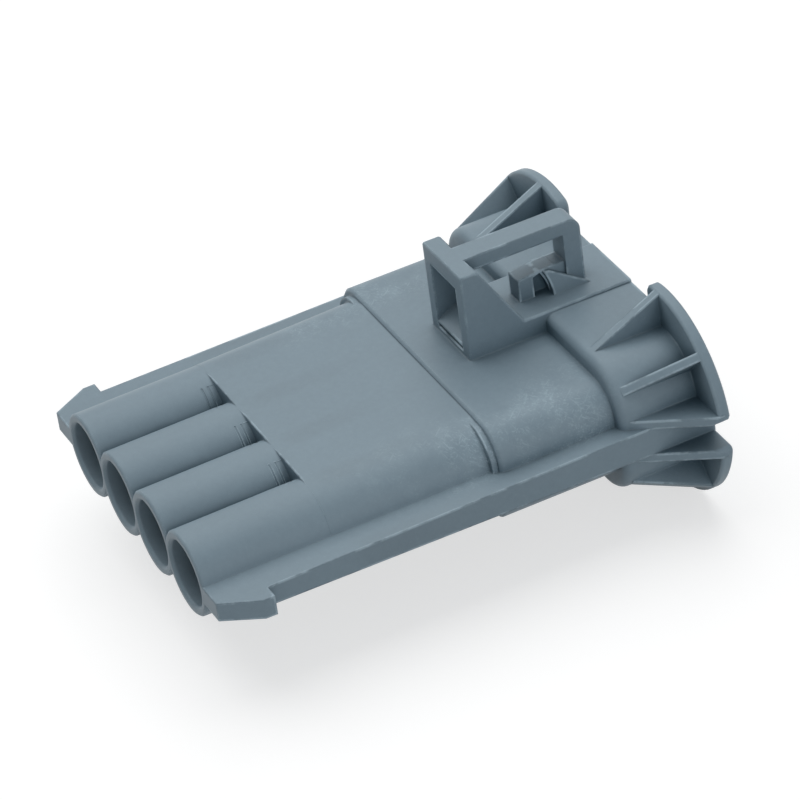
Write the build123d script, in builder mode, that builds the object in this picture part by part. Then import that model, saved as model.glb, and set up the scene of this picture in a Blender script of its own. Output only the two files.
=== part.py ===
# Sealed four-way connector housing with its contacts, wire seals and contact lock
#
# Frame: the origin is the centre of the wire face, on the web between the two middle tubes.
# X runs across the row of tubes, +Y runs from the wire end to the mating end, +Z is the latch side.

from build123d import *
import math
import os

# Contact row
ways = 4
pitch = 7.5
row_x = [(i - (ways - 1) / 2) * pitch for i in range(ways)]
outer_x = row_x[-1]

# Stations along Y, measured from the wire face
valley_end = 13.2
middle_start = 30.4
rear_start = 42.6
length = 52.0

# Wire tubes and the front of the body
bore_radius = 3.3
tube_wall = 0.95
mouth_chamfer = 0.25
tube_growth = 0.15
tube_radius = bore_radius + tube_wall
valley_radius = tube_radius + tube_growth
rim_chamfer = 0.2
valley_step = 0.8
valley_lip = 0.55
valley_flat = 0.05
front_half_width = 15.8
front_half_height = 4.9
front_corner = 4.5
collar_length = 0.6
collar_half_width = 16.2
collar_half_height = 4.8
collar_corner = 3.6
collar_lap = 0.3

# Middle and rear of the body
middle_half_width = 16.6
middle_half_height = 5.3
middle_corner = 3.4
rear_half_width = 17.9
rear_half_height = 7.15
rear_corner = 4.8
shoulder_round = 0.9
step_chamfer = 0.25

# Side rails and their front lugs
rail_half_width = 18.9
rail_front_half = 1.0
rail_rear_half = 1.6
lug_front_half_width = 18.3
lug_half_width = 20.45
lug_ramp = 3.8
lug_length = 5.0
lug_round = 0.35

# Flared corners of the mating end
flare_x = 11.6
flare_radius = 10.8
flare_inner_x = {"right": 9.6, "left": 7.8}
flare_end = 51.9
flare_thickness = 1.2
flare_tip_round = 1.0
flare_foot = 1.45
flare_foot_round = 0.6
flare_edge_chamfer = 0.2
flare_lip = 0.1
rib_thickness = 0.9
rib_start = 0.9
rib_sink = 1.0
corner_reach = 7.9
section_lap = 2.0

# Latch bridge on the top
bridge_half_width = 3.95
bridge_wall = 1.4
bridge_top = 14.7
bridge_front = 34.3
bridge_depth = 1.85
bridge_plate = 1.8
bridge_chamfer = 0.15
platform_top = 7.45
wall_foot = 40.4
sill_top = 6.4
sill_run = 1.7
sill_slot = 0.45
sill_slot_depth = 1.6

# Bar, post and latch nib
bar_half_width = 1.25
bar_thickness = 1.5
post_depth = 1.9
post_end = 48.5
post_round = 1.3
nib_half_width = 1.0
nib_front = 41.5
nib_top = 9.9
nib_length = 3.9
nib_rise = 0.35
nib_web = 0.4
nib_pocket_start = 43.1
nib_pocket_top = 9.65
nib_rib_thickness = 0.85
nib_rib_foot = 44.75
nib_rib_tip = 43.85
nib_rib_top = 10.6
nib_rib_end = 48.7
nib_rib_radius = 6.0

# Inside of the housing
seal_bore_end = 15.6
cavity_radius = 2.3
cavity_end = 31.4
stop_thickness = 1.4
stop_radius = 1.15
shroud_wall = 1.45
shroud_floor = cavity_end + stop_thickness
socket_start = 43.6
socket_wall = 1.6
overshoot = 1.0

# Wire seals
seal_start = 4.4
seal_ribs = 3
seal_rib_pitch = 2.1
seal_rib_height = 0.55
seal_land = 0.5
seal_body_length = 2 * seal_land + seal_ribs * seal_rib_pitch
seal_clearance = 0.06
seal_hole_radius = 0.95
neck_radius = 1.75
neck_length = 3.0

# Contacts
pin_radius = 0.75
pin_root_radius = 0.95
pin_tip = 0.5
pin_reach = 47.0
contact_radius = 1.9
contact_wall = 0.35
contact_start = 20.2
contact_gap = 0.1
shoulder_length = 1.6
tang_width = 1.1
tang_length = 3.2
tang_lift = 0.3
crimp_wall = 0.3
wire_crimp_start = 15.9
wire_crimp_length = 3.2
wire_crimp_radius = 1.1
grip_length = 2.2
grip_clearance = 0.05
grip_opening = 70.0
spine_lap = 0.6

# Contact lock
lock_start = shroud_floor + contact_gap
lock_thickness = 2.4
lock_end = lock_start + lock_thickness
lock_clearance = 0.12
lock_hole_clearance = 0.12
lock_chamfer = 0.5
lock_slot_length = 4.2
lock_slot_width = 1.4

os.makedirs("parts", exist_ok=True)


# Plane across the part at station y, with local x along X and local y along Z; its normal points to the wire end
def across(y):
    return Plane(origin=(0, y, 0), x_dir=(1, 0, 0), z_dir=(0, -1, 0))


# Plane along the part at the given x, with local x along Y and local y along Z
def along(x):
    return Plane(origin=(x, 0, 0), x_dir=(0, 1, 0), z_dir=(1, 0, 0))


# One wire tube, slightly wider where it joins the body
def wire_tube(x):
    with BuildPart() as tube:
        with BuildSketch(across(0)):
            with Locations((x, 0)):
                Circle(tube_radius)
        with BuildSketch(across(valley_end)):
            with Locations((x, 0)):
                Circle(valley_radius)
        loft()
        chamfer(tube.edges().group_by(Axis.Y)[0], rim_chamfer)
    return tube.part


# Flat-topped body between the valleys and the middle step, drawn a little wider towards the rear
def front_body():
    width = outer_x + valley_radius
    with BuildPart() as body:
        with BuildSketch(across(valley_end)):
            RectangleRounded(2 * width, 2 * valley_radius, valley_radius - valley_flat)
        with BuildSketch(across(middle_start + collar_lap)):
            RectangleRounded(2 * front_half_width, 2 * front_half_height, front_corner)
        loft()
        # Low web that steps up out of each valley
        with BuildSketch(across(valley_end)):
            SlotCenterToCenter(2 * outer_x, 2 * (valley_radius - valley_lip))
        extrude(amount=valley_step)
        # Collar in front of the middle step, which stands proud on the rounded sides only
        with BuildSketch(across(middle_start - collar_length)):
            RectangleRounded(2 * collar_half_width, 2 * collar_half_height, collar_corner)
        extrude(amount=-(collar_length + collar_lap))
    return body.part


# Rounded box section of the body, with its leading edge finished by the given operation, fillet or chamfer
def body_section(start, end, half_width, half_height, corner, finish, size):
    with BuildPart() as section:
        with BuildSketch(across(start)):
            RectangleRounded(2 * half_width, 2 * half_height, corner)
        extrude(amount=start - end)
        finish(section.faces().sort_by(Axis.Y)[0].edges(), size)
    return section.part


# Rails down both sides, thicker towards the rear, with an arrow-headed lug at the front of each
def side_rails():
    with BuildPart() as rails:
        with BuildSketch(along(-lug_half_width)):
            with BuildLine():
                Polyline(
                    (0, -rail_front_half),
                    (length, -rail_rear_half),
                    (length, rail_rear_half),
                    (0, rail_front_half),
                    close=True,
                )
            make_face()
        extrude(amount=2 * lug_half_width)
        with BuildSketch(Plane.XY.offset(-rail_rear_half)):
            with BuildLine():
                outline = Polyline(
                    (0, 0),
                    (lug_front_half_width, 0),
                    (lug_half_width, lug_ramp),
                    (lug_half_width, lug_length),
                    (rail_half_width, lug_length),
                    (rail_half_width, length),
                    (0, length),
                )
                mirror(outline, about=Plane.YZ)
            make_face()
        extrude(amount=2 * rail_rear_half, mode=Mode.INTERSECT)
        tips = rails.edges().filter_by(Axis.Z).group_by(SortBy.DISTANCE)[-1]
        fillet(tips, lug_round)
    return rails.part


# Rib that rises from the body to the flared flange, in the plane through the flare axis at the given angle
def flare_rib(angle, inner, outer, side_shift):
    start = rear_start + rib_start
    end = flare_end - flare_thickness
    rib_plane = Plane(
        origin=(flare_x, 0, 0),
        x_dir=(0, 1, 0),
        z_dir=(math.sin(math.radians(angle)), 0, -math.cos(math.radians(angle))),
    )
    with BuildPart() as rib:
        with BuildSketch(rib_plane.offset(side_shift)):
            with BuildLine():
                Polyline(
                    (start, inner - rib_sink),
                    (end + flare_thickness / 2, inner - rib_sink),
                    (end + flare_thickness / 2, outer),
                    (end, outer),
                    (start, inner),
                    close=True,
                )
            make_face()
        extrude(amount=rib_thickness / 2, both=True)
    return rib.part


# Flared flange sector and its three ribs, drawn at the upper right corner of the mating end
def flared_corner(inner_x):
    reach = 2 * flare_radius
    with BuildPart() as corner:
        with BuildSketch(across(flare_end - flare_thickness)) as sector:
            with Locations((flare_x, 0)):
                Circle(flare_radius)
            with Locations((inner_x, flare_foot)):
                Rectangle(reach, reach, align=(Align.MIN, Align.MIN), mode=Mode.INTERSECT)
            fillet(sector.vertices().sort_by(Axis.Y)[-1], flare_tip_round)
            fillet(sector.vertices().sort_by(Axis.X)[-1], flare_foot_round)
        extrude(amount=-flare_thickness)
        chamfer(corner.faces().filter_by(Axis.Y).edges(), flare_edge_chamfer)
        rib_outer = flare_radius - flare_lip
        add(flare_rib(90, rear_half_height, rib_outer, 0))
        add(flare_rib(45, corner_reach, rib_outer, 0))
        add(flare_rib(0, rear_half_width - flare_x, rib_outer, -(flare_foot + rib_thickness / 2)))
    return corner.part


# Latch bridge: two side walls with sloped tops on a raised platform, tied by a plate over the window
def latch_bridge():
    inner = bridge_half_width - bridge_wall
    rear = bridge_front + bridge_depth
    with BuildPart() as bridge:
        with BuildSketch(along(-bridge_half_width)):
            with BuildLine():
                Polyline(
                    (bridge_front, 0),
                    (length, 0),
                    (length, platform_top),
                    (wall_foot, platform_top),
                    (rear, bridge_top),
                    (bridge_front, bridge_top),
                    close=True,
                )
            make_face()
        extrude(amount=2 * bridge_half_width)
        # Chamfer along all edges but those sunk in the body, at the end face and at the foot of the slope
        edges = bridge.edges()
        foot_line = edges.filter_by(Axis.X).sort_by_distance((0, wall_foot, platform_top))[:1]
        chamfer(edges - edges.group_by(Axis.Z)[0] - edges.group_by(Axis.Y)[-1] - foot_line, bridge_chamfer)
        # Space between the walls, open behind the plate
        with BuildSketch(along(-inner)):
            with BuildLine():
                Polyline(
                    (bridge_front, sill_top),
                    (bridge_front + sill_run, platform_top),
                    (wall_foot, platform_top),
                    (wall_foot, bridge_top),
                    (rear, bridge_top),
                    (rear, bridge_top - bridge_plate),
                    (bridge_front, bridge_top - bridge_plate),
                    close=True,
                )
            make_face()
        extrude(amount=2 * inner, mode=Mode.SUBTRACT)
        # Narrow slot below the sill
        slot_base = middle_half_height + sill_slot
        with BuildSketch(across(bridge_front)):
            with Locations((0, slot_base)):
                Rectangle(2 * inner, sill_slot, align=(Align.CENTER, Align.MIN))
        extrude(amount=-sill_slot_depth, mode=Mode.SUBTRACT)
    return bridge.part


# Bar from the plate to the rear post, and the post that stands on the platform
def latch_bar():
    bar_start = bridge_front + bridge_depth / 2
    with BuildPart() as bar:
        with BuildSketch(along(-bar_half_width)) as side:
            with BuildLine():
                Polyline(
                    (bar_start, bridge_top - bar_thickness),
                    (post_end - post_depth, bridge_top - bar_thickness),
                    (post_end - post_depth, middle_half_height),
                    (post_end, middle_half_height),
                    (post_end, bridge_top),
                    (bar_start, bridge_top),
                    close=True,
                )
            make_face()
            fillet(side.vertices().group_by(Axis.X)[-1].sort_by(Axis.Y)[-1], post_round)
        extrude(amount=2 * bar_half_width)
    return bar.part


# Latch nib: a hooked block, and a sloped rib on each side that leans on the post
def latch_nib():
    rise_end = nib_front + nib_length
    with BuildPart() as nib:
        with BuildSketch(along(-nib_half_width)):
            with BuildLine():
                Polyline(
                    (nib_front, middle_half_height),
                    (post_end - post_depth / 2, middle_half_height),
                    (post_end - post_depth / 2, platform_top + nib_rise),
                    (rise_end, nib_top + nib_rise),
                    (nib_front, nib_top),
                    close=True,
                )
            make_face()
        extrude(amount=2 * nib_half_width)
        for side in (-1, 1):
            with BuildSketch(along(side * nib_half_width)):
                with BuildLine():
                    Line((nib_rib_foot, platform_top - nib_rise), (nib_rib_foot, platform_top))
                    RadiusArc((nib_rib_foot, platform_top), (nib_rib_tip, nib_rib_top), -nib_rib_radius)
                    Polyline(
                        (nib_rib_tip, nib_rib_top),
                        (nib_rib_end, platform_top),
                        (nib_rib_end, platform_top - nib_rise),
                        (nib_rib_foot, platform_top - nib_rise),
                    )
                make_face()
            extrude(amount=side * nib_rib_thickness)
    return nib.part


# Pocket in each side of the nib, between its upright front wall and the curved edge of the rib
def nib_pocket(side):
    with BuildPart() as pocket:
        with BuildSketch(along(side * nib_web / 2)):
            with BuildLine():
                Polyline(
                    (nib_rib_foot, platform_top),
                    (nib_pocket_start, platform_top),
                    (nib_pocket_start, nib_pocket_top),
                    (nib_rib_tip, nib_top),
                )
                RadiusArc((nib_rib_tip, nib_top), (nib_rib_foot, platform_top), nib_rib_radius)
            make_face()
        extrude(amount=side * (nib_half_width - nib_web / 2))
    return pocket.part


# Space cut into each tube: mouth chamfer, seal bore, contact cavity and the hole through the stop
def wire_bore(x):
    with BuildPart() as bore:
        with BuildSketch(Plane(origin=(x, 0, 0), x_dir=(1, 0, 0), z_dir=(0, 0, 1))):
            with BuildLine():
                Polyline(
                    (0, -overshoot),
                    (bore_radius + mouth_chamfer, -overshoot),
                    (bore_radius + mouth_chamfer, 0),
                    (bore_radius, mouth_chamfer),
                    (bore_radius, seal_bore_end),
                    (cavity_radius, seal_bore_end + bore_radius - cavity_radius),
                    (cavity_radius, cavity_end),
                    (stop_radius, cavity_end),
                    (stop_radius, shroud_floor + stop_thickness),
                    (0, shroud_floor + stop_thickness),
                    close=True,
                )
            make_face()
        revolve(axis=Axis((x, 0, 0), (0, 1, 0)))
    return bore.part


# Space for the mating half, wider at its mouth; it runs past the end face so that the face is cut clean
def shroud_space():
    with BuildPart() as space:
        with BuildSketch(across(shroud_floor)):
            RectangleRounded(
                2 * (middle_half_width - shroud_wall),
                2 * (middle_half_height - shroud_wall),
                middle_corner - shroud_wall,
            )
        extrude(amount=shroud_floor - length)
        with BuildSketch(across(socket_start)):
            RectangleRounded(
                2 * (rear_half_width - socket_wall),
                2 * (rear_half_height - socket_wall),
                rear_corner - socket_wall,
            )
        extrude(amount=socket_start - length - overshoot)
    return space.part


with BuildPart() as housing:
    for x in row_x:
        add(wire_tube(x))
    add(front_body())
    middle = (middle_half_width, middle_half_height, middle_corner, chamfer, step_chamfer)
    add(body_section(middle_start, rear_start + section_lap, *middle))
    rear = (rear_half_width, rear_half_height, rear_corner, fillet, shoulder_round)
    add(body_section(rear_start, length, *rear))
    add(side_rails())
    right = flared_corner(flare_inner_x["right"])
    left = mirror(flared_corner(flare_inner_x["left"]), about=Plane.YZ, mode=Mode.PRIVATE)
    for flare in (right, left):
        add(flare)
        add(mirror(flare, about=Plane.XY, mode=Mode.PRIVATE))
    add(latch_bridge())
    add(latch_bar())
    add(latch_nib())
    for side in (-1, 1):
        add(nib_pocket(side), mode=Mode.SUBTRACT)
    # Wire-side bores
    for x in row_x:
        add(wire_bore(x), mode=Mode.SUBTRACT)
    add(shroud_space(), mode=Mode.SUBTRACT)
housing.part.label = "housing"
export_step(housing.part, "parts/housing.step")


# Ribbed wire seal, revolved about its tube's axis
def wire_seal(x):
    outer = bore_radius - seal_clearance
    root = outer - seal_rib_height
    body_end = seal_start + seal_body_length
    neck_end = body_end + neck_length
    with BuildPart() as seal:
        with BuildSketch(Plane(origin=(x, 0, 0), x_dir=(1, 0, 0), z_dir=(0, 0, 1))):
            with BuildLine():
                ribs = []
                for i in range(seal_ribs):
                    foot = seal_start + seal_land + i * seal_rib_pitch
                    ribs += [(root, foot), (outer, foot + seal_rib_pitch / 2)]
                Polyline(
                    (seal_hole_radius, seal_start),
                    (root, seal_start),
                    *ribs,
                    (root, body_end - seal_land),
                    (root, body_end),
                    (neck_radius, body_end),
                    (neck_radius, neck_end),
                    (seal_hole_radius, neck_end),
                    close=True,
                )
            make_face()
        revolve(axis=Axis((x, 0, 0), (0, 1, 0)))
    return seal.part


# Arc-shaped strip of sheet wrapped round the contact axis, open at the top
def wrapped_strip(x, start, strip_length, inner, opening):
    half = math.radians(180 - opening / 2)
    outer = inner + crimp_wall
    with BuildPart() as strip:
        with BuildSketch(across(start)):
            with BuildLine():
                tips = []
                for radius in (inner, outer):
                    left = (x - radius * math.sin(half), -radius * math.cos(half))
                    right = (x + radius * math.sin(half), -radius * math.cos(half))
                    ThreePointArc(left, (x, -radius), right)
                    tips.append((left, right))
                Line(tips[0][0], tips[1][0])
                Line(tips[0][1], tips[1][1])
            make_face()
        extrude(amount=-strip_length)
    return strip.part


# Pin contact: round pin with a wider root, rolled body with a locking tang on each side, wire crimp and seal grip
def pin_contact(x):
    body_end = cavity_end - contact_gap
    root_end = lock_end + contact_gap
    neck_start = seal_start + seal_body_length
    neck_end = neck_start + neck_length
    grip_start = neck_start + (neck_length - grip_length) / 2
    grip_radius = neck_radius + grip_clearance
    with BuildPart() as contact:
        with BuildSketch(Plane(origin=(x, 0, 0), x_dir=(1, 0, 0), z_dir=(0, 0, 1))):
            with BuildLine():
                Polyline(
                    (0, body_end - shoulder_length),
                    (contact_radius - contact_wall, body_end - shoulder_length),
                    (contact_radius - contact_wall, contact_start),
                    (contact_radius, contact_start),
                    (contact_radius, body_end),
                    (pin_root_radius, body_end),
                    (pin_root_radius, root_end),
                    (pin_radius, root_end),
                    (pin_radius, pin_reach - pin_tip),
                    (pin_radius - pin_tip / 2, pin_reach),
                    (0, pin_reach),
                    close=True,
                )
            make_face()
        revolve(axis=Axis((x, 0, 0), (0, 1, 0)))
        # Locking tangs, left and right
        for side in (-1, 1):
            tang_end = body_end - shoulder_length
            with BuildSketch(Plane.XY.offset(-tang_width / 2)):
                with BuildLine():
                    Polyline(
                        (x + side * (contact_radius - contact_wall / 2), tang_end),
                        (x + side * contact_radius, tang_end),
                        (x + side * (contact_radius + tang_lift), tang_end - tang_length),
                        (x + side * (contact_radius + tang_lift - contact_wall), tang_end - tang_length),
                        close=True,
                    )
                make_face()
            extrude(amount=tang_width)
        # Wire crimp and seal grip
        add(wrapped_strip(x, wire_crimp_start, wire_crimp_length, wire_crimp_radius, grip_opening))
        add(wrapped_strip(x, grip_start, grip_length, grip_radius, grip_opening))
        # Spine that ties grip, crimp and body together underneath
        inside = [
            (grip_start + grip_length / 2, -grip_radius),
            (neck_end, -grip_radius),
            (wire_crimp_start, -wire_crimp_radius),
            (wire_crimp_start + wire_crimp_length, -wire_crimp_radius),
            (contact_start, contact_wall - contact_radius),
            (contact_start + spine_lap, contact_wall - contact_radius),
        ]
        outside = [(y, z - crimp_wall) for y, z in reversed(inside)]
        with BuildSketch(along(x)):
            with BuildLine():
                Polyline(*inside, *outside, close=True)
            make_face()
        extrude(amount=tang_width / 2, both=True)
    return contact.part


# Contact lock: a plate on the shroud floor with a hole for each pin and slots to pry it out by
def contact_lock():
    with BuildPart() as lock:
        with BuildSketch(across(lock_start)):
            RectangleRounded(
                2 * (middle_half_width - shroud_wall - lock_clearance),
                2 * (middle_half_height - shroud_wall - lock_clearance),
                middle_corner - shroud_wall - lock_clearance,
            )
        extrude(amount=-lock_thickness)
        chamfer(lock.faces().sort_by(Axis.Y)[-1].edges(), lock_chamfer)
        with BuildSketch(across(lock_start)):
            with Locations([(x, 0) for x in row_x]):
                Circle(pin_root_radius + lock_hole_clearance)
            with Locations([(x + pitch / 2, 0) for x in row_x[:-1]]):
                SlotOverall(lock_slot_length, lock_slot_width, rotation=90)
        extrude(amount=-lock_thickness, mode=Mode.SUBTRACT)
    return lock.part


for i, x in enumerate(row_x, start=1):
    seal = wire_seal(x)
    seal.label = f"wire_seal_{i}"
    export_step(seal, f"parts/{seal.label}.step")
    contact = pin_contact(x)
    contact.label = f"pin_contact_{i}"
    export_step(contact, f"parts/{contact.label}.step")

lock = contact_lock()
lock.label = "contact_lock"
export_step(lock, f"parts/{lock.label}.step")
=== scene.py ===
import bmesh
import bpy
import math
import numpy as np
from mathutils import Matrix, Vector


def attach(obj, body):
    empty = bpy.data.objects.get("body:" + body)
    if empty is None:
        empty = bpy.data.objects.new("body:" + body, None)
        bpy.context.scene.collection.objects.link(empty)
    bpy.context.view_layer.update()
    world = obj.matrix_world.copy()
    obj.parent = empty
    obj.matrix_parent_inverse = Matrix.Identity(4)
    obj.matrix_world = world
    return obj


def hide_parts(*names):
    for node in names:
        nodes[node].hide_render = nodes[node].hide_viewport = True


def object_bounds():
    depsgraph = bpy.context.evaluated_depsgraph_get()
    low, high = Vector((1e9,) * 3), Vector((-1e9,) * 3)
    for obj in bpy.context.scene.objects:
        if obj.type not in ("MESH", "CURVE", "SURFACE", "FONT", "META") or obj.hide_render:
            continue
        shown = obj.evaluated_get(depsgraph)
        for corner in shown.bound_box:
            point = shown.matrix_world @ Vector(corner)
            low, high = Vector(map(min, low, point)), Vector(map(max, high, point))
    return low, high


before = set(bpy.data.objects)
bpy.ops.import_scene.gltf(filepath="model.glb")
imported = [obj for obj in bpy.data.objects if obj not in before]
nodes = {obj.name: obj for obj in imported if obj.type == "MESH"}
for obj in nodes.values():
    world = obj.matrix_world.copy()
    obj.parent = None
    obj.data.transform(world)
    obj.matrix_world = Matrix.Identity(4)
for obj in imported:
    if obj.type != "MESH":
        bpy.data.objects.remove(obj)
cadLow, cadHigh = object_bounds()
bpy.context.scene.view_settings.view_transform = "Standard"
print("connector loaded, nodes:", len(nodes))

# Camera at the photograph's angle, with its small roll to the left
cameraSettings = {
    "place": (0.34281, -0.11148, 0.26085),
    "turn": (54.661, 6.758, 63.063),
    "focalLength": 213.15,
    "sensor": 36.0,
}


def addCamera(settings):
    data = bpy.data.cameras.new("productCamera")
    data.sensor_width = settings["sensor"]
    data.lens = settings["focalLength"]
    data.clip_start = 0.01
    data.clip_end = 20
    camera = bpy.data.objects.new("productCamera", data)
    camera.location = settings["place"]
    camera.rotation_euler = [math.radians(a) for a in settings["turn"]]
    bpy.context.scene.collection.objects.link(camera)
    bpy.context.scene.camera = camera


addCamera(cameraSettings)
print("camera set")

# Soft studio light: one wide panel above and behind, a weak one low at the near side, and a
# pale cool world
lightSettings = {
    "overhead": {
        "place": (-0.20, 0.04, 0.50),
        "size": 0.70,
        "power": 2.65,
        "color": (1.0, 1.0, 0.99),
    },
    "side": {
        "place": (0.54, 0.02, 0.14),
        "size": 0.40,
        "power": 0.85,
        "color": (0.96, 0.98, 1.0),
    },
    "worldStrength": 0.24,
    "worldColor": (0.93, 0.97, 1.0, 1.0),
}


def addPanel(name, settings, target):
    data = bpy.data.lights.new(name, "AREA")
    data.shape = "SQUARE"
    data.size = settings["size"]
    data.energy = settings["power"]
    data.color = settings["color"]
    lamp = bpy.data.objects.new(name, data)
    lamp.location = settings["place"]
    lamp.rotation_euler = (target - Vector(settings["place"])).to_track_quat("-Z", "Y").to_euler()
    bpy.context.scene.collection.objects.link(lamp)


middle = (cadLow + cadHigh) / 2
addPanel("overheadPanel", lightSettings["overhead"], middle)
addPanel("sidePanel", lightSettings["side"], middle)


def seenDirectly(tree):
    # 1 for rays from the camera, from gloss and through glass, and 0 for the rays that carry light
    path = tree.nodes.new("ShaderNodeLightPath")
    seen = path.outputs["Is Camera Ray"]
    for name in ("Is Glossy Ray", "Is Transmission Ray"):
        larger = tree.nodes.new("ShaderNodeMath")
        larger.operation = "MAXIMUM"
        tree.links.new(seen, larger.inputs[0])
        tree.links.new(path.outputs[name], larger.inputs[1])
        seen = larger.outputs[0]
    return seen


world = bpy.data.worlds.new("studioWorld")
bpy.context.scene.world = world
world.use_nodes = True
worldTree = world.node_tree
worldTree.nodes.clear()
worldOut = worldTree.nodes.new("ShaderNodeOutputWorld")
softLight = worldTree.nodes.new("ShaderNodeBackground")
softLight.inputs["Color"].default_value = lightSettings["worldColor"]
softLight.inputs["Strength"].default_value = lightSettings["worldStrength"]
whiteBack = worldTree.nodes.new("ShaderNodeBackground")
whiteBack.inputs["Color"].default_value = (1, 1, 1, 1)
whiteBack.inputs["Strength"].default_value = 1.0
pickBack = worldTree.nodes.new("ShaderNodeMixShader")
worldTree.links.new(seenDirectly(worldTree), pickBack.inputs[0])
worldTree.links.new(softLight.outputs[0], pickBack.inputs[1])
worldTree.links.new(whiteBack.outputs[0], pickBack.inputs[2])
worldTree.links.new(pickBack.outputs[0], worldOut.inputs["Surface"])
print("lights set")

# Pale table top under the connector
floorSettings = {
    "halfSide": 1.5,
    "color": (0.47, 0.47, 0.47, 1),
    "roughness": 0.9,
    "specular": 0.1,
    "lift": 0.64,
}


def addFloor(settings, height):
    half = settings["halfSide"]
    corners = [
        (-half, -half, height),
        (half, -half, height),
        (half, half, height),
        (-half, half, height),
    ]
    mesh = bpy.data.meshes.new("tableTop")
    mesh.from_pydata(corners, [], [(0, 1, 2, 3)])
    table = bpy.data.objects.new("tableTop", mesh)
    bpy.context.scene.collection.objects.link(table)
    material = bpy.data.materials.new("paleTable")
    material.use_nodes = True
    tree = material.node_tree
    shader = tree.nodes["Principled BSDF"]
    shader.inputs["Base Color"].default_value = settings["color"]
    shader.inputs["Roughness"].default_value = settings["roughness"]
    shader.inputs["Specular IOR Level"].default_value = settings["specular"]
    # The table is seen lighter than it is lit, up to white, and keeps the connector's shadow
    lift = tree.nodes.new("ShaderNodeMath")
    lift.operation = "MULTIPLY"
    lift.inputs[1].default_value = settings["lift"]
    tree.links.new(seenDirectly(tree), lift.inputs[0])
    glow = tree.nodes.new("ShaderNodeEmission")
    tree.links.new(lift.outputs[0], glow.inputs["Strength"])
    both = tree.nodes.new("ShaderNodeAddShader")
    tree.links.new(shader.outputs[0], both.inputs[0])
    tree.links.new(glow.outputs[0], both.inputs[1])
    tree.links.new(both.outputs[0], tree.nodes["Material Output"].inputs["Surface"])
    table.data.materials.append(material)


addFloor(floorSettings, cadLow.z)
print("table set")


# Small helpers for node trees
def addNode(tree, kind, place, **values):
    node = tree.nodes.new(kind)
    node.location = place
    for key, value in values.items():
        setattr(node, key, value)
    return node


def setInputs(node, **values):
    for key, value in values.items():
        node.inputs[key.replace("_", " ")].default_value = value


def addMath(tree, operation, first, second, place, clamp=False):
    node = addNode(tree, "ShaderNodeMath", place, operation=operation, use_clamp=clamp)
    for socket, value in zip(node.inputs, (first, second)):
        if hasattr(value, "is_output"):
            tree.links.new(value, socket)
        elif value is not None:
            socket.default_value = value
    return node.outputs[0]


def addRamp(tree, value, low, high, place):
    node = addNode(tree, "ShaderNodeMapRange", place, interpolation_type="SMOOTHSTEP")
    node.inputs["From Min"].default_value = low
    node.inputs["From Max"].default_value = high
    tree.links.new(value, node.inputs["Value"])
    return node.outputs["Result"]


def addMix(tree, factor, first, second, place):
    node = addNode(tree, "ShaderNodeMix", place, data_type="RGBA", clamp_factor=True)
    tree.links.new(factor, node.inputs["Factor"])
    for socket, value in ((node.inputs["A"], first), (node.inputs["B"], second)):
        if hasattr(value, "is_output"):
            tree.links.new(value, socket)
        else:
            socket.default_value = value
    return node.outputs["Result"]


def addNoise(tree, vector, settings, place):
    scale, detail, roughness = settings
    node = addNode(tree, "ShaderNodeTexNoise", place)
    setInputs(node, Scale=scale, Detail=detail, Roughness=roughness)
    tree.links.new(vector, node.inputs["Vector"])
    return node.outputs["Fac"]


# Where the finish and the painted shade of the sink bands change over the body, in metres on the
# connector: |x| across it and y along it
rubbedZone = {
    "innerX": 0.0080,
    "fullX": 0.0125,
    "edgeX": 0.0164,
    "outerX": 0.0175,
    "startY": 0.014,
    "fullY": 0.027,
    "fadeY": 0.040,
    "endY": 0.0445,
}
# Painted shade of shallow sink marks between the tubes
sinkShadeBands = {
    "pitch": 0.0075,
    "inner": -0.2,
    "outer": -1.0,
    "start": 0.0132,
    "fadeStart": 0.016,
    "fadeEnd": 0.030,
}

# How each mark looks: a noise is (scale, detail, roughness), and over a range a mark goes from
# none to full
pigment = {"slow": (60.0, 3.0, 0.55), "fine": (1500.0, 3.0, 0.7)}
# Painted shade in recesses, found by ambient occlusion
paintedHollowShade = {"reach": 0.005, "range": (0.2, 0.8), "samples": 8}
scuffs = {
    "turns": ((25, 20), (-20, 42), (10, -50), (35, 75)),
    "thinness": (1.0, 0.07, 0.07),
    "noise": {"Scale": 380.0, "Detail": 2.0, "Roughness": 0.5, "Distortion": 0.2},
    "range": (0.58, 0.74),
    "strength": 0.75,
    "haze": (420.0, 4.0, 0.65),
    "hazeRange": (0.3, 0.8),
    "hazeStrength": 0.55,
    "patches": (170.0, 3.0, 0.6),
    "patchRange": (0.36, 0.66),
}
dustPoints = {"noise": (2600.0, 1.0, 0.5), "range": (0.66, 0.8)}
# Worn edges: wear with a painted highlight along the outer edges
wornEdgesAndHighlight = {
    "range": (0.1, 0.3),
    "breaks": (300.0, 4.0, 0.65),
    "breakRange": (0.42, 0.6),
    "samples": 8,
}
relief = {"grain": (3200.0, 2.0, 0.6), "rubDepth": -0.8, "rubRoughness": 0.15}


# Effect groups shared by the moulded pieces
def makeGroup(name, inputs, outputs):
    group = bpy.data.node_groups.new(name, "ShaderNodeTree")
    for label, kind, value in inputs:
        socket = group.interface.new_socket(name=label, in_out="INPUT", socket_type=kind)
        socket.default_value = value
    for label, kind in outputs:
        group.interface.new_socket(name=label, in_out="OUTPUT", socket_type=kind)
    return group


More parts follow.
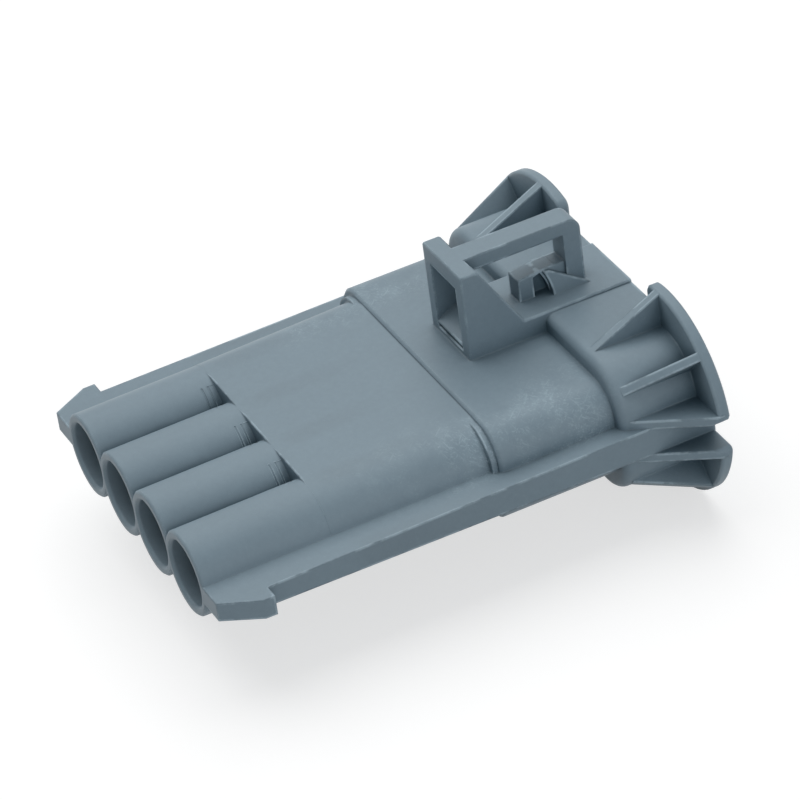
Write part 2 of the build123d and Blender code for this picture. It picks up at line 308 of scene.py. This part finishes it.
def makeMouldedFinishAndPaintedLight():
    # A moulded surface: clouds, painted shade in the sink bands and in recesses, hairline scuffs,
    # dust, and worn edges with a painted highlight
    tree = makeGroup(
        "mouldedFinishAndPaintedLight",
        [
            ("Plain Color", "NodeSocketColor", (0.24, 0.3, 0.34, 1)),
            # The second colour lightens scuffs and dust, and worn edges partly as a painted
            # highlight
            ("Rubbed Color", "NodeSocketColor", (0.4, 0.46, 0.5, 1)),
            ("Clouds", "NodeSocketFloat", 0.1),
            ("Rubbing", "NodeSocketFloat", 0.3),
            ("Side Rubbing", "NodeSocketFloat", 0.0),
            ("Specks", "NodeSocketFloat", 0.2),
            ("Edge Width", "NodeSocketFloat", 0.0003),
            ("Wear Width", "NodeSocketFloat", 0.0005),
            ("Edge Wear", "NodeSocketFloat", 0.5),
            # Painted shade: a dark colour and its strength for recesses, and the strength of the
            # shade painted in the sink bands
            ("Hollow Color", "NodeSocketColor", (0.04, 0.07, 0.09, 1)),
            ("Hollow Shade", "NodeSocketFloat", 0.0),
            ("Sink Bands", "NodeSocketFloat", 0.0),
            ("Base Roughness", "NodeSocketFloat", 0.45),
        ],
        [
            ("Color", "NodeSocketColor"),
            ("Roughness", "NodeSocketFloat"),
            ("Height", "NodeSocketFloat"),
            ("Soft Normal", "NodeSocketVector"),
        ],
    )
    start = addNode(tree, "NodeGroupInput", (-1600, 0))
    end = addNode(tree, "NodeGroupOutput", (1100, 0))
    where = addNode(tree, "ShaderNodeTexCoord", (-1600, -400)).outputs["Object"]
    split = addNode(tree, "ShaderNodeSeparateXYZ", (-1400, -400))
    tree.links.new(where, split.inputs[0])
    acrossX, alongY = split.outputs["X"], split.outputs["Y"]
    # Clouds: slow patches and a fine mottle of the pigment
    slow = addNoise(tree, where, pigment["slow"], (-1100, 400))
    fine = addNoise(tree, where, pigment["fine"], (-1100, 250))
    mottle = addMath(tree, "ADD", slow, fine, (-900, 350))
    mottle = addMath(tree, "SUBTRACT", mottle, 1.0, (-800, 350))
    mottle = addMath(tree, "MULTIPLY", mottle, start.outputs["Clouds"], (-700, 350))
    # Painted shade of shallow sink marks: darker bands where cos(2 pi x / pitch) is -1 between the
    # tubes, fading out along the body
    wave = addMath(tree, "MULTIPLY", acrossX, 2 * math.pi / sinkShadeBands["pitch"], (-1200, 600))
    wave = addMath(tree, "COSINE", wave, None, (-1050, 600))
    wave = addRamp(tree, wave, sinkShadeBands["inner"], sinkShadeBands["outer"], (-900, 600))
    fade = addRamp(tree, alongY, sinkShadeBands["fadeEnd"], sinkShadeBands["fadeStart"], (-900, 750))
    begin = addRamp(tree, alongY, sinkShadeBands["start"], sinkShadeBands["fadeStart"], (-900, 900))
    band = addMath(tree, "MULTIPLY", wave, fade, (-700, 650))
    band = addMath(tree, "MULTIPLY", band, begin, (-600, 650))
    band = addMath(tree, "MULTIPLY", band, start.outputs["Sink Bands"], (-500, 650))
    shade = addMath(tree, "SUBTRACT", mottle, band, (-400, 450))
    shade = addMath(tree, "ADD", shade, 1.0, (-300, 450))
    clouded = addNode(tree, "ShaderNodeVectorMath", (-150, 400), operation="SCALE")
    tree.links.new(start.outputs["Plain Color"], clouded.inputs[0])
    tree.links.new(shade, clouded.inputs["Scale"])
    # Painted shade in recesses: the colour is mixed towards a dark blue where little light gets
    # in, within a few millimetres
    hollow = addNode(tree, "ShaderNodeAmbientOcclusion", (-700, 1100), samples=paintedHollowShade["samples"])
    hollow.inputs["Distance"].default_value = paintedHollowShade["reach"]
    closed = addMath(tree, "SUBTRACT", 1.0, hollow.outputs["AO"], (-500, 1100))
    closed = addRamp(tree, closed, *paintedHollowShade["range"], (-400, 1100))
    closed = addMath(tree, "MULTIPLY", closed, start.outputs["Hollow Shade"], (-250, 1100))
    toned = addMix(tree, closed, clouded.outputs[0], start.outputs["Hollow Color"], (0, 600))
    # Hairline scuffs: noise drawn out along four directions and cut to its thin crests
    strokes = None
    for row, (turnY, turnZ) in enumerate(scuffs["turns"]):
        height = -50 - 150 * row
        drawn = addNode(tree, "ShaderNodeMapping", (-1300, height), vector_type="TEXTURE")
        drawn.inputs["Rotation"].default_value = (0, math.radians(turnY), math.radians(turnZ))
        drawn.inputs["Scale"].default_value = scuffs["thinness"]
        tree.links.new(where, drawn.inputs["Vector"])
        noise = addNode(tree, "ShaderNodeTexNoise", (-1100, height))
        setInputs(noise, **scuffs["noise"])
        tree.links.new(drawn.outputs[0], noise.inputs["Vector"])
        crest = addRamp(tree, noise.outputs["Fac"], *scuffs["range"], (-900, height))
        if strokes is not None:
            crest = addMath(tree, "MAXIMUM", strokes, crest, (-750, height))
        strokes = crest
    haze = addNoise(tree, where, scuffs["haze"], (-1100, -650))
    haze = addRamp(tree, haze, *scuffs["hazeRange"], (-900, -650))
    haze = addMath(tree, "MULTIPLY", haze, scuffs["hazeStrength"], (-750, -650))
    strokes = addMath(tree, "MULTIPLY", strokes, scuffs["strength"], (-600, -150))
    scuff = addMath(tree, "ADD", strokes, haze, (-400, -150), clamp=True)
    patches = addNoise(tree, where, scuffs["patches"], (-1100, -800))
    patches = addRamp(tree, patches, *scuffs["patchRange"], (-900, -800))
    scuff = addMath(tree, "MULTIPLY", scuff, patches, (-300, -150))
    # The rounded sides of the body are rubbed most: ramps of |x| and y rise and fall round them
    side = addMath(tree, "ABSOLUTE", acrossX, None, (-1200, -1200))
    inner = addRamp(tree, side, rubbedZone["innerX"], rubbedZone["fullX"], (-1000, -1200))
    outer = addRamp(tree, side, rubbedZone["outerX"], rubbedZone["edgeX"], (-1000, -1300))
    front = addRamp(tree, alongY, rubbedZone["startY"], rubbedZone["fullY"], (-1000, -1400))
    back = addRamp(tree, alongY, rubbedZone["endY"], rubbedZone["fadeY"], (-1000, -1500))
    zone = addMath(tree, "MULTIPLY", inner, outer, (-850, -1250))
    zone = addMath(tree, "MULTIPLY", zone, front, (-750, -1250))
    zone = addMath(tree, "MULTIPLY", zone, back, (-650, -1250))
    zone = addMath(tree, "MULTIPLY", zone, start.outputs["Side Rubbing"], (-550, -1250))
    amount = addMath(tree, "ADD", zone, start.outputs["Rubbing"], (-500, -1200))
    rubbed = addMath(tree, "MULTIPLY", scuff, amount, (-150, -250), clamp=True)
    # Specks: tiny light dust points
    dust = addNoise(tree, where, dustPoints["noise"], (-1100, -750))
    dust = addRamp(tree, dust, *dustPoints["range"], (-900, -750))
    dust = addMath(tree, "MULTIPLY", dust, start.outputs["Specks"], (-700, -750), clamp=True)
    # Corners look rounded through a softened normal
    rounded = addNode(tree, "ShaderNodeBevel", (-1200, -950), samples=wornEdgesAndHighlight["samples"])
    tree.links.new(start.outputs["Edge Width"], rounded.inputs["Radius"])
    # Worn edges with a painted highlight: rays sent into the solid come out soon only at an outer
    # edge, where the colour is lightened, and noise breaks the lightened line
    inward = addNode(tree, "ShaderNodeAmbientOcclusion", (-1200, -1080))
    inward.samples = wornEdgesAndHighlight["samples"]
    inward.inside = True
    inward.only_local = True
    tree.links.new(start.outputs["Wear Width"], inward.inputs["Distance"])
    edge = addMath(tree, "SUBTRACT", 1.0, inward.outputs["AO"], (-800, -950))
    edge = addRamp(tree, edge, *wornEdgesAndHighlight["range"], (-650, -950))
    breaks = addNoise(tree, where, wornEdgesAndHighlight["breaks"], (-800, -1080))
    breaks = addRamp(tree, breaks, *wornEdgesAndHighlight["breakRange"], (-600, -1080))
    edge = addMath(tree, "MULTIPLY", edge, breaks, (-400, -950))
    edge = addMath(tree, "MULTIPLY", edge, start.outputs["Edge Wear"], (-250, -950), clamp=True)
    light = addMath(tree, "ADD", rubbed, dust, (0, -400), clamp=True)
    light = addMath(tree, "MAXIMUM", light, edge, (150, -400))
    color = addMix(tree, light, toned, start.outputs["Rubbed Color"], (400, 200))
    tree.links.new(color, end.inputs["Color"])
    rough = addMath(tree, "MULTIPLY", light, relief["rubRoughness"], (400, -100))
    rough = addMath(tree, "ADD", rough, start.outputs["Base Roughness"], (550, -100))
    rough = addMath(tree, "MULTIPLY", rough, shade, (700, -100))
    tree.links.new(rough, end.inputs["Roughness"])
    # Height: fine mould grain under shallow rub marks
    grain = addNoise(tree, where, relief["grain"], (150, -600))
    height = addMath(tree, "MULTIPLY", rubbed, relief["rubDepth"], (350, -600))
    height = addMath(tree, "ADD", height, grain, (500, -600))
    tree.links.new(height, end.inputs["Height"])
    tree.links.new(rounded.outputs["Normal"], end.inputs["Soft Normal"])
    return tree


mouldedFinishAndPaintedLight = makeMouldedFinishAndPaintedLight()

# The housing's colours, with painted shade in recesses and in the sink bands and a painted
# highlight on its worn edges
housingFinishAndPaintedLight = {
    "plainColor": (0.206, 0.276, 0.326, 1),
    "rubbedAndHighlightColor": (0.39, 0.50, 0.57, 1),
    "clouds": 0.16,
    "rubbing": 0.03,
    "sideRubbing": 0.6,
    "specks": 0.06,
    "edgeWidth": 0.00034,
    "edgeMarkWidth": 0.00032,
    "edgeWearAndHighlight": 1.0,
    "paintedShadeColor": (0.035, 0.07, 0.095, 1),
    "hollowShade": 0.95,
    "sinkShadeBands": 0.07,
    "roughness": 0.46,
    "grainStrength": 0.35,
    "grainDepth": 0.00001,
    "specular": 0.28,
}
lockFinish = {
    "plainColor": (0.15, 0.18, 0.2, 1),
    "rubbedAndHighlightColor": (0.26, 0.29, 0.31, 1),
    "clouds": 0.1,
    "rubbing": 0.1,
    "sideRubbing": 0.0,
    "specks": 0.05,
    "edgeWidth": 0.00015,
    "edgeMarkWidth": 0.00032,
    "edgeWearAndHighlight": 0.25,
    "paintedShadeColor": (0.04, 0.04, 0.04, 1),
    "hollowShade": 0.0,
    "sinkShadeBands": 0.0,
    "roughness": 0.5,
    "grainStrength": 0.35,
    "grainDepth": 0.00001,
    "specular": 0.28,
}
sealFinish = {
    "plainColor": (0.30, 0.075, 0.03, 1),
    "rubbedAndHighlightColor": (0.42, 0.16, 0.09, 1),
    "clouds": 0.16,
    "rubbing": 0.15,
    "sideRubbing": 0.0,
    "specks": 0.1,
    "edgeWidth": 0.0001,
    "edgeMarkWidth": 0.00032,
    "edgeWearAndHighlight": 0.1,
    "paintedShadeColor": (0.04, 0.04, 0.04, 1),
    "hollowShade": 0.0,
    "sinkShadeBands": 0.0,
    "roughness": 0.55,
    "grainStrength": 0.35,
    "grainDepth": 0.000012,
    "specular": 0.28,
}


def makeMoulded(name, values):
    material = bpy.data.materials.new(name)
    material.use_nodes = True
    tree = material.node_tree
    shader = tree.nodes["Principled BSDF"]
    finish = addNode(tree, "ShaderNodeGroup", (-500, 100), node_tree=mouldedFinishAndPaintedLight)
    setInputs(
        finish,
        Plain_Color=values["plainColor"],
        Rubbed_Color=values["rubbedAndHighlightColor"],
        Clouds=values["clouds"],
        Rubbing=values["rubbing"],
        Side_Rubbing=values["sideRubbing"],
        Specks=values["specks"],
        Edge_Width=values["edgeWidth"],
        Wear_Width=values["edgeMarkWidth"],
        Edge_Wear=values["edgeWearAndHighlight"],
        Hollow_Color=values["paintedShadeColor"],
        Hollow_Shade=values["hollowShade"],
        Sink_Bands=values["sinkShadeBands"],
        Base_Roughness=values["roughness"],
    )
    bump = addNode(tree, "ShaderNodeBump", (-250, -200))
    setInputs(bump, Strength=values["grainStrength"], Distance=values["grainDepth"])
    tree.links.new(finish.outputs["Color"], shader.inputs["Base Color"])
    tree.links.new(finish.outputs["Roughness"], shader.inputs["Roughness"])
    tree.links.new(finish.outputs["Height"], bump.inputs["Height"])
    tree.links.new(finish.outputs["Soft Normal"], bump.inputs["Normal"])
    tree.links.new(bump.outputs["Normal"], shader.inputs["Normal"])
    shader.inputs["Specular IOR Level"].default_value = values["specular"]
    return material


contactFinish = {
    "color": (0.66, 0.655, 0.63, 1),
    "darkColor": (0.42, 0.41, 0.39, 1),
    "roughness": 0.28,
    "spread": 0.22,
    "lineStretch": (1.0, 0.06, 1.0),
    "lines": (2200.0, 3.0, 0.6),
    "spots": (420.0, 3.0, 0.6),
    "spotRange": (0.35, 0.7),
}


def makeTinned(name, values):
    material = bpy.data.materials.new(name)
    material.use_nodes = True
    tree = material.node_tree
    shader = tree.nodes["Principled BSDF"]
    where = addNode(tree, "ShaderNodeTexCoord", (-1000, 0)).outputs["Object"]
    # Rolling lines along the strip, with dull spots between them
    drawn = addNode(tree, "ShaderNodeMapping", (-800, 0))
    drawn.inputs["Scale"].default_value = values["lineStretch"]
    tree.links.new(where, drawn.inputs["Vector"])
    lines = addNoise(tree, drawn.outputs[0], values["lines"], (-600, 0))
    spots = addNoise(tree, where, values["spots"], (-600, -250))
    spots = addRamp(tree, spots, *values["spotRange"], (-400, -250))
    color = addMix(tree, spots, values["color"], values["darkColor"], (-200, 100))
    tree.links.new(color, shader.inputs["Base Color"])
    rough = addMath(tree, "MULTIPLY", lines, values["spread"], (-400, 0))
    rough = addMath(tree, "ADD", rough, values["roughness"], (-200, -100))
    tree.links.new(rough, shader.inputs["Roughness"])
    shader.inputs["Metallic"].default_value = 1.0
    return material


# The visible housing: a copy of the solid, reshaped at the valleys, the latch nib and the ribs
# of the flanges, in metres
housingShape = {
    "tubeCentres": (-0.01125, -0.00375, 0.00375, 0.01125),
    "arcPoints": 14,
    "coveRadius": 0.00437,
    "webTop": 0.00395,
    "webFront": 0.0121,
    "valleyEnd": 0.0132,
    "grooveRadius": 0.00433,
    "grooves": ((0.0118, 0.01198), (0.01245, 0.01263)),
    "nibHalf": 0.000995,
    "tipInner": 0.00099,
    "blockSink": 0.0003,
    "nibTop": 0.0102,
    "nibBack": (0.0450, 0.0474),
    "platformTop": 0.00745,
    "ribTop": 0.01,
    "ribFootX": 0.00187,
    "ribTopX": 0.00135,
    "ribRange": (0.0433, 0.0465, 0.0489),
    "flareX": 0.0116,
    "flareRib": {
        "start": 0.0435,
        "end": 0.05068,
        "low": 0.00753,
        "rise": 0.44,
        "half": 0.0006,
        "turn": 45.0,
    },
    "flareFoot": {
        "roundX": 0.02159,
        "roundZ": 0.00205,
        "radius": 0.00062,
        "turns": (-90, 12, 9),
        "outerX": 0.0226,
        "over": 0.0006,
        "range": (0.0485, 0.0513),
    },
    "clear": 0.0012,
    "mergeDistance": 0.000001,
    "sharpAngle": 38.0,
    "evenWeight": 90,
}


def prismMesh(name, outline, low, high, across, up, along, origin=(0, 0, 0)):
    # A flat outline (u, v) carried from w = low to w = high:
    # each point is origin + u * across + v * up + w * along
    ring = np.array(outline, dtype=float)
    across, up, along, origin = (np.array(v, dtype=float) for v in (across, up, along, origin))
    flat = origin + ring[:, :1] * across + ring[:, 1:] * up
    ends = [flat + low * along, flat + high * along]
    count = len(ring)
    sides = [(i, (i + 1) % count, count + (i + 1) % count, count + i) for i in range(count)]
    caps = [tuple(reversed(range(count))), tuple(range(count, 2 * count))]
    mesh = bpy.data.meshes.new(name)
    mesh.from_pydata(np.concatenate(ends).tolist(), [], sides + caps)
    tool = bmesh.new()
    tool.from_mesh(mesh)
    bmesh.ops.recalc_face_normals(tool, faces=tool.faces)
    tool.to_mesh(mesh)
    tool.free()
    return mesh


# Directions for prismMesh: an outline (x, z) carried along y, and an outline (y, z) along x
outlineXZ = ((1, 0, 0), (0, 0, 1), (0, 1, 0))
outlineYZ = ((0, 1, 0), (0, 0, 1), (1, 0, 0))


def coveOutline(left, right, side, radius, values):
    # Space between two tubes: up one tube's circle from where the two meet, straight across,
    # and down the other circle, with x = centre +- radius * cos(turn) and z = radius * sin(turn)
    meet = math.acos((right - left) / 2 / radius)
    high = math.asin(values["webTop"] / radius)
    turn = np.linspace(meet, high, values["arcPoints"])
    run, rise = radius * np.cos(turn), side * radius * np.sin(turn)
    upRight = np.stack((right - run, rise), axis=1)
    downLeft = np.stack((left + run[::-1], rise[::-1]), axis=1)
    return np.concatenate((upRight, downLeft[:-1]))


def valleySteps(values):
    # The valleys end plainly, and two fine lines cross each upper one just before its end
    steps = []
    for left, right in zip(values["tubeCentres"], values["tubeCentres"][1:]):
        for side in (-1, 1):
            outline = coveOutline(left, right, side, values["coveRadius"], values)
            cut = prismMesh("cove", outline, values["webFront"], values["valleyEnd"], *outlineXZ)
            steps.append(("DIFFERENCE", cut))
        outline = coveOutline(left, right, 1, values["grooveRadius"], values)
        for groove in values["grooves"]:
            steps.append(("DIFFERENCE", prismMesh("groove", outline, *groove, *outlineXZ)))
    return steps


def nibSteps(values):
    # The leaning ribs beside the nib get sloped sides and level tips, and the nib runs level
    # to its post
    clear = values["clear"]
    begin, post, end = values["ribRange"]
    top, foot = values["ribTop"], values["platformTop"]
    steps = []
    for side in (-1, 1):
        lean = [
            (side * values["ribTopX"], top + clear),
            (side * values["ribTopX"], top),
            (side * values["ribFootX"], foot),
            (side * (values["ribFootX"] + clear), foot),
            (side * (values["ribFootX"] + clear), top + clear),
        ]
        steps.append(("DIFFERENCE", prismMesh("ribSide", lean, begin, end, *outlineXZ)))
        tip = [
            (side * values["tipInner"], top),
            (side * (values["ribTopX"] + clear), top),
            (side * (values["ribTopX"] + clear), top + clear),
            (side * values["tipInner"], top + clear),
        ]
        steps.append(("DIFFERENCE", prismMesh("ribTip", tip, begin, post, *outlineXZ)))
    front, back = values["nibBack"]
    low, high, half = foot - values["blockSink"], values["nibTop"], values["nibHalf"]
    block = [(front, low), (back, low), (back, high), (front, high)]
    steps.append(("UNION", prismMesh("nibBlock", block, -half, half, *outlineYZ)))
    return steps


def flangeSteps(values):
    # The slanting ribs of the flanges start level with the body, and the foot ribs end inside
    # the rounded flange: the heel follows x = roundX + radius * cos(turn), z with sin(turn)
    rib, heel, clear = values["flareRib"], values["flareFoot"], values["clear"]
    rise = rib["rise"] * (rib["end"] - rib["start"])
    wedge = [
        (rib["start"], rib["low"]),
        (rib["end"], rib["low"] + rise),
        (rib["end"], rib["low"] + rise + clear),
        (rib["start"], rib["low"] + rise + clear),
    ]
    turn = np.radians(np.linspace(*heel["turns"]))
    arcX = heel["roundX"] + heel["radius"] * np.cos(turn)
    arcZ = heel["roundZ"] + heel["radius"] * np.sin(turn)
    outer = [(heel["outerX"], arcZ[-1] + heel["over"]), (heel["outerX"], arcZ[0])]
    corner = np.concatenate((np.stack((arcX, arcZ), axis=1), outer))
    slant = math.radians(rib["turn"])
    steps = []
    for sideX in (-1, 1):
        for sideZ in (-1, 1):
            outward = (sideX * math.cos(slant), 0, sideZ * math.sin(slant))
            sideways = (-outward[2], 0, outward[0])
            axes = ((0, 1, 0), outward, sideways, (sideX * values["flareX"], 0, 0))
            cut = prismMesh("ribStart", wedge, -rib["half"], rib["half"], *axes)
            steps.append(("DIFFERENCE", cut))
            cut = prismMesh("ribHeel", corner * (sideX, sideZ), *heel["range"], *outlineXZ)
            steps.append(("DIFFERENCE", cut))
    return steps


def shapeHousing(values):
    piece = bpy.data.objects.new("housingShell", nodes["housing"].data.copy())
    bpy.context.scene.collection.objects.link(piece)
    if "custom_normal" in piece.data.attributes:
        piece.data.attributes.remove(piece.data.attributes["custom_normal"])
    tool = bmesh.new()
    tool.from_mesh(piece.data)
    bmesh.ops.remove_doubles(tool, verts=tool.verts, dist=values["mergeDistance"])
    tool.to_mesh(piece.data)
    tool.free()
    for operation, mesh in valleySteps(values) + nibSteps(values) + flangeSteps(values):
        helper = bpy.data.objects.new("shapeHelper", mesh)
        bpy.context.scene.collection.objects.link(helper)
        change = piece.modifiers.new("shape", "BOOLEAN")
        change.operation = operation
        change.solver = "EXACT"
        change.object = helper
        graph = bpy.context.evaluated_depsgraph_get()
        shaped = bpy.data.meshes.new_from_object(piece.evaluated_get(graph))
        piece.modifiers.clear()
        piece.data = shaped
        bpy.data.objects.remove(helper)
    faces = piece.data.polygons
    faces.foreach_set("material_index", np.zeros(len(faces), dtype=np.int32))
    piece.data.shade_smooth()
    piece.data.set_sharp_from_angle(angle=math.radians(values["sharpAngle"]))
    evener = piece.modifiers.new("evenShading", "WEIGHTED_NORMAL")
    evener.keep_sharp = True
    evener.weight = values["evenWeight"]
    print("housing shaped, faces:", len(faces))
    return piece


housingShell = shapeHousing(housingShape)
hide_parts("housing")
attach(housingShell, "root")


def dress(piece, material):
    piece.data.materials.clear()
    piece.data.materials.append(material)


dress(housingShell, makeMoulded("mouldedHousing", housingFinishAndPaintedLight))
dress(nodes["contact_lock"], makeMoulded("mouldedLock", lockFinish))
siliconeSeal = makeMoulded("siliconeSeal", sealFinish)
tinnedContact = makeTinned("tinnedContact", contactFinish)
for way in range(1, 5):
    dress(nodes[f"wire_seal_{way}"], siliconeSeal)
    dress(nodes[f"pin_contact_{way}"], tinnedContact)
print("materials set")
